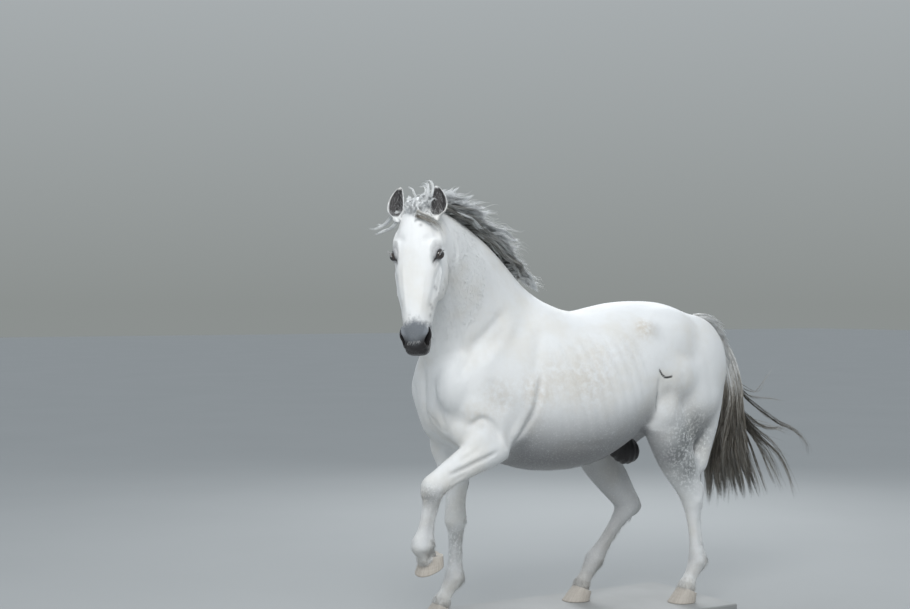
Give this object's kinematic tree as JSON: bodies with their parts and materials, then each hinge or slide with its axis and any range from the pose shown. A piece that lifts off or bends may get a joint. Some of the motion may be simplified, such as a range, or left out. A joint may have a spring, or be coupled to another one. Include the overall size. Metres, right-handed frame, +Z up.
{
  "type": "horse",
  "caption": "White Iberian-type stallion at a trot, head turned to its left, mane and tail streaming, as a life-size still model on a flat base.",
  "frame": {"origin": "middle of the bounding box at the underside of the base", "axes": "+Z up; the horse looks along -X with its left side toward -Y"},
  "size_m": [2.6105, 0.8126, 1.9643],
  "materials": {
    "coat": "matte",
    "hair": "satin",
    "eye": "gloss",
    "hoof": "satin",
    "base": "matte"
  },
  "bodies": {
    "root": {"head": "coat", "neck": "coat", "trunk": "coat", "ear_left": "coat", "ear_right": "coat", "fore_left_forearm": "coat", "fore_left_cannon": "coat", "fore_right_forearm": "coat", "fore_right_cannon": "coat", "hind_left_gaskin": "coat", "hind_left_cannon": "coat", "hind_right_gaskin": "coat", "hind_right_cannon": "coat", "mane": "hair", "forelock": "hair", "tail": "hair", "eye_left": "eye", "eye_right": "eye", "fore_left_hoof": "hoof", "fore_right_hoof": "hoof", "hind_left_hoof": "hoof", "hind_right_hoof": "hoof", "stand_base": "base"}
  },
  "joints": []
}
